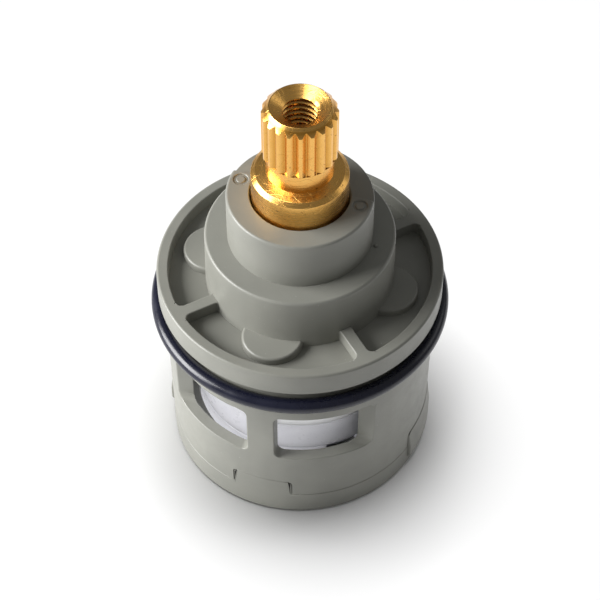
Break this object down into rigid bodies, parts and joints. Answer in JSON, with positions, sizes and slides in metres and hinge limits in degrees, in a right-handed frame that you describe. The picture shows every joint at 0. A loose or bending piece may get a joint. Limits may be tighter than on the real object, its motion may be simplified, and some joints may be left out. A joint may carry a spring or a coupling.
{
  "type": "diverter valve cartridge",
  "caption": "Drop-in rotary diverter cartridge: plastic body with side inlet windows, splined brass stem and ceramic discs that send water to either outlet in its base.",
  "frame": {"origin": "centre of the base face, on the stem's axis", "axes": "+Z along the stem towards its splined end; -Y is the front, where a tongue of the base and the pillar between the front windows stand; +X is to the right of it"},
  "size_m": [0.0388, 0.0388, 0.0593],
  "materials": {
    "body_plastic": "moulded, fine matt, warm grey",
    "base_plastic": "moulded, fine matt, warm grey",
    "ring_rubber": "smooth, oiled, blue-black",
    "seal_rubber": "smooth, black",
    "stem_brass": "turned and milled, bright",
    "driver_plastic": "moulded, white",
    "disc_ceramic": "lapped, white",
    "washer_plastic": "smooth, milky",
    "ball_steel": "polished",
    "spring_steel": "drawn wire"
  },
  "bodies": {
    "body": {"housing": "body_plastic", "base": "base_plastic", "flange_o_ring": "ring_rubber", "thrust_washer": "washer_plastic", "fixed_disc": "disc_ceramic", "disc_gasket": "seal_rubber", "outlet_seal_left": "seal_rubber", "outlet_seal_right": "seal_rubber", "detent_spring_front": "spring_steel", "detent_spring_right": "spring_steel", "detent_spring_rear": "spring_steel", "detent_spring_left": "spring_steel"},
    "rotor": {"stem": "stem_brass", "stem_o_ring_upper": "seal_rubber", "stem_o_ring_lower": "seal_rubber", "driver": "driver_plastic", "moving_disc": "disc_ceramic"},
    "ball_front": {"detent_ball_front": "ball_steel"},
    "ball_right": {"detent_ball_right": "ball_steel"},
    "ball_rear": {"detent_ball_rear": "ball_steel"},
    "ball_left": {"detent_ball_left": "ball_steel"}
  },
  "joints": [
    {"name": "stem_turn", "type": "hinge", "parent": "body", "child": "rotor", "pos_m": [0, 0, 0.04], "axis": [0, 0, 1], "range_deg": [-45, 45]},
    {"name": "ball_front_drop", "type": "slide", "parent": "body", "child": "ball_front", "axis": [0, 0, 1], "range_m": [-0.0004, 0], "stiffness_N_per_m": 400, "springref_m": -0.0015, "deforming": ["detent_spring_front"]},
    {"name": "ball_right_drop", "type": "slide", "parent": "body", "child": "ball_right", "axis": [0, 0, 1], "range_m": [-0.0004, 0], "stiffness_N_per_m": 400, "springref_m": -0.0015, "deforming": ["detent_spring_right"]},
    {"name": "ball_rear_drop", "type": "slide", "parent": "body", "child": "ball_rear", "axis": [0, 0, 1], "range_m": [-0.0004, 0], "stiffness_N_per_m": 400, "springref_m": -0.0015, "deforming": ["detent_spring_rear"]},
    {"name": "ball_left_drop", "type": "slide", "parent": "body", "child": "ball_left", "axis": [0, 0, 1], "range_m": [-0.0004, 0], "stiffness_N_per_m": 400, "springref_m": -0.0015, "deforming": ["detent_spring_left"]}
  ],
  "couplings": [
    {"joint": "ball_right_drop", "follows": "ball_front_drop", "ratio": 1},
    {"joint": "ball_rear_drop", "follows": "ball_front_drop", "ratio": 1},
    {"joint": "ball_left_drop", "follows": "ball_front_drop", "ratio": 1}
  ]
}
